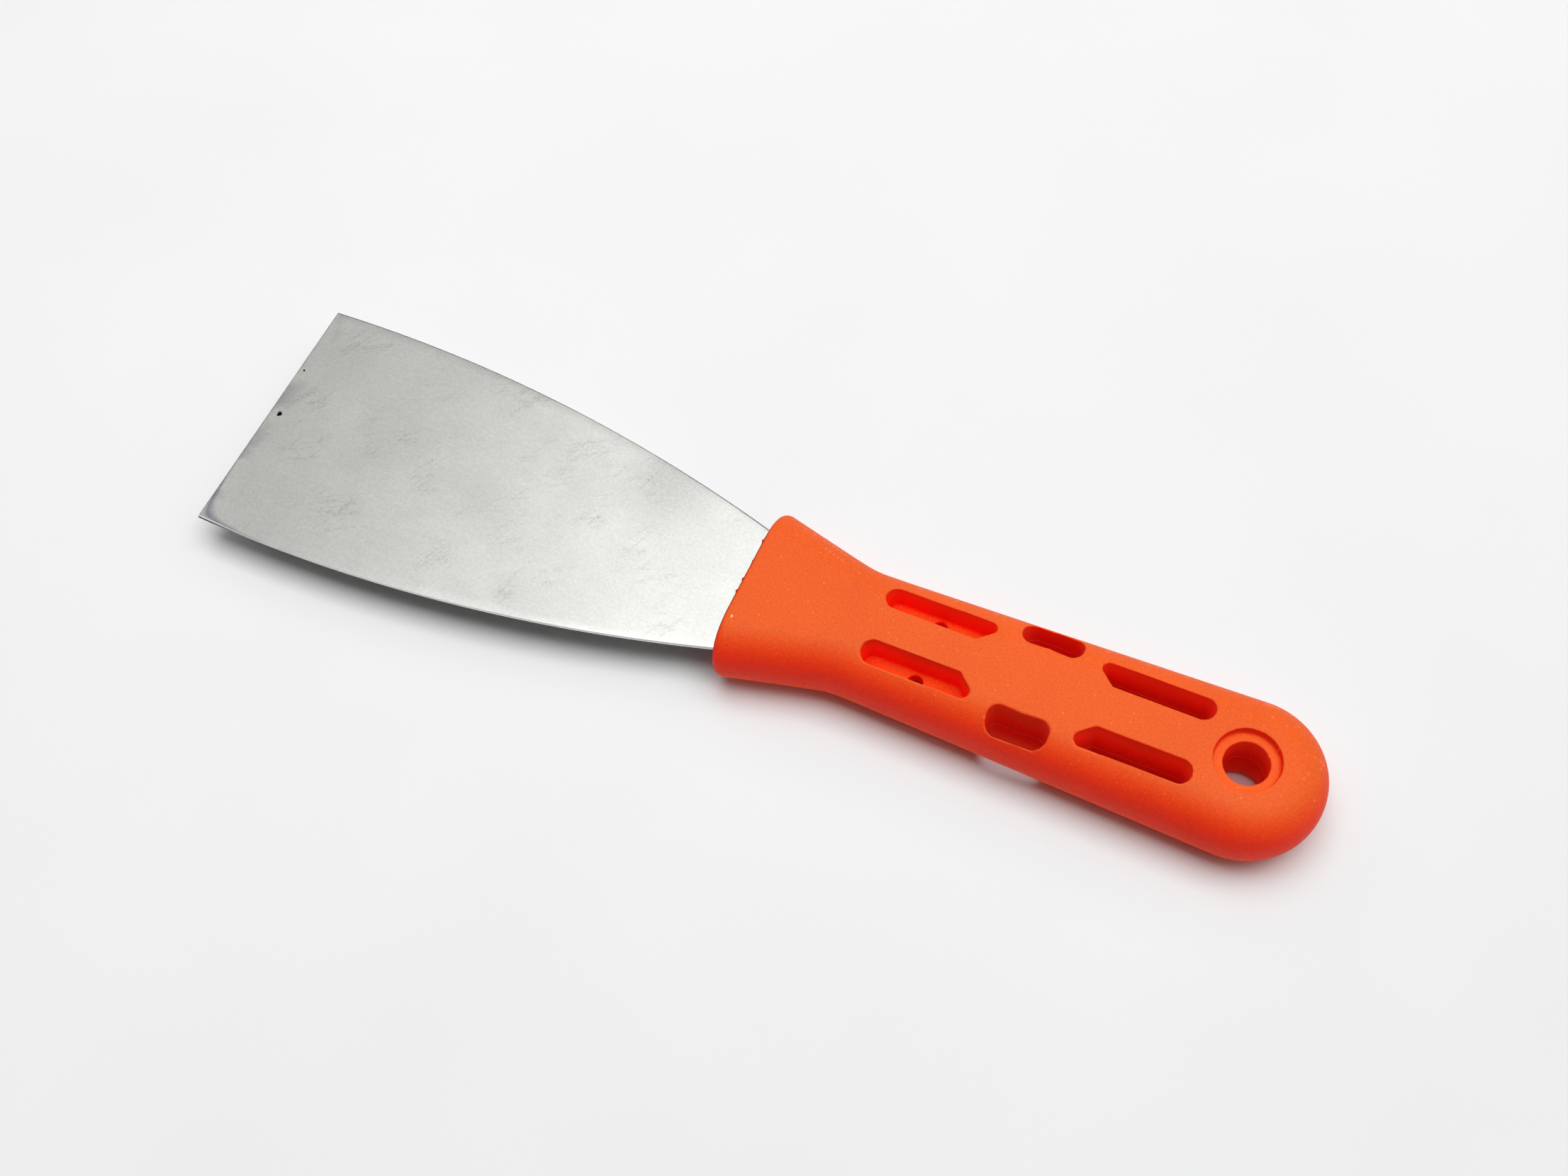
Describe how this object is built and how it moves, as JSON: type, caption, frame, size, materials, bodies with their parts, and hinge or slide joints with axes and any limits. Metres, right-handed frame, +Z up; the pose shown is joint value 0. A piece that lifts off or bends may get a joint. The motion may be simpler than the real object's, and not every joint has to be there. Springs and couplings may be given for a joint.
{
  "type": "flexible putty knife",
  "caption": "Flexible putty knife: a tapered spring-steel blade flaring to a straight tip, set in a slotted plastic handle with a flared collar and a round butt with a hanging hole.",
  "frame": {"origin": "middle of the knife's length and width, at the height of the handle's underside", "axes": "-X from the handle towards the blade's tip, +Y across the blade, +Z up and square to the blade's flat face when the knife lies down"},
  "size_m": [0.204, 0.0504, 0.0152],
  "materials": {
    "blade_steel": "satin, finely brushed along its length",
    "handle_plastic": "matte, fine spark-eroded mould grain"
  },
  "bodies": {
    "handle": {"handle": "handle_plastic", "tang": "blade_steel"},
    "blade": {"blade": "blade_steel"}
  },
  "joints": [
    {"name": "blade_flex", "type": "hinge", "parent": "handle", "child": "blade", "pos_m": [-0.0022, 0, 0.0076], "axis": [0, 1, 0], "range_deg": [-25, 25], "stiffness_Nm_per_rad": 6.1}
  ]
}
